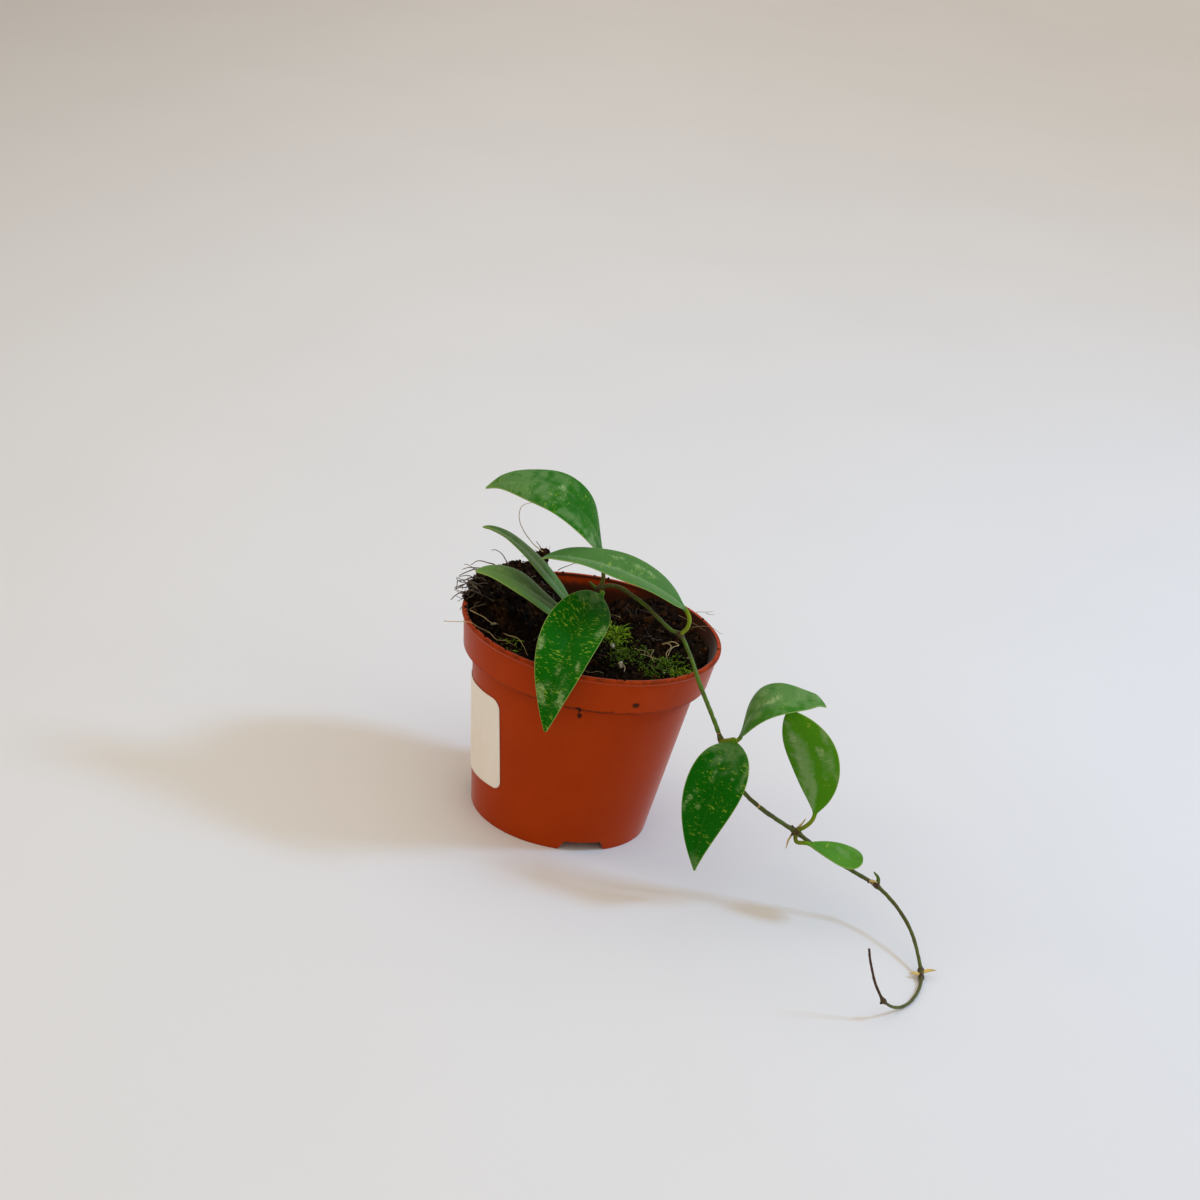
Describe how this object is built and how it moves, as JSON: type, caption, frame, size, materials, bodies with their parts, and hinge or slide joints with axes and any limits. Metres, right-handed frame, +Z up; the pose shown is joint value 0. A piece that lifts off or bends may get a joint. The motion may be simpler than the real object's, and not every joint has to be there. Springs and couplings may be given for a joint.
{
  "type": "potted trailing hoya plant",
  "caption": "Young climbing plant with waxy lance-shaped leaves; its long shoot leans over the rim of a tapered plastic nursery pot and trails down to the surface in a hook.",
  "frame": {"origin": "middle of the bounding box of the whole plant and pot, at the height of the surface that the pot stands on", "axes": "+Z up along the pot's axis; -Y is the front, where the front leaf hangs over the rim; the long shoot trails towards +X and -Y"},
  "size_m": [0.2104, 0.1748, 0.1422],
  "materials": {
    "pot_plastic": "thin moulded terracotta-coloured polypropylene, satin, a little dusty",
    "label_film": "bare off-white film label, matte",
    "peat": "damp dark peat with crumbs, fibres and moss",
    "stem": "smooth green stem, browner towards its young end",
    "leaf": "thick waxy leaf, deep green with fine pale flecks and a soft sheen"
  },
  "bodies": {
    "root": {"pot": "pot_plastic", "label": "label_film", "soil": "peat", "vine_stem": "stem", "short_shoot_stem": "stem", "leaf_joint1_high": "leaf", "leaf_joint1_hanging": "leaf", "leaf_joint2_arched": "leaf", "leaf_joint3_high": "leaf", "leaf_joint3_hanging": "leaf", "leaf_joint4_upright": "leaf", "leaf_joint4_small": "leaf", "leaf_short_shoot_high": "leaf", "leaf_short_shoot_low": "leaf"}
  },
  "joints": []
}
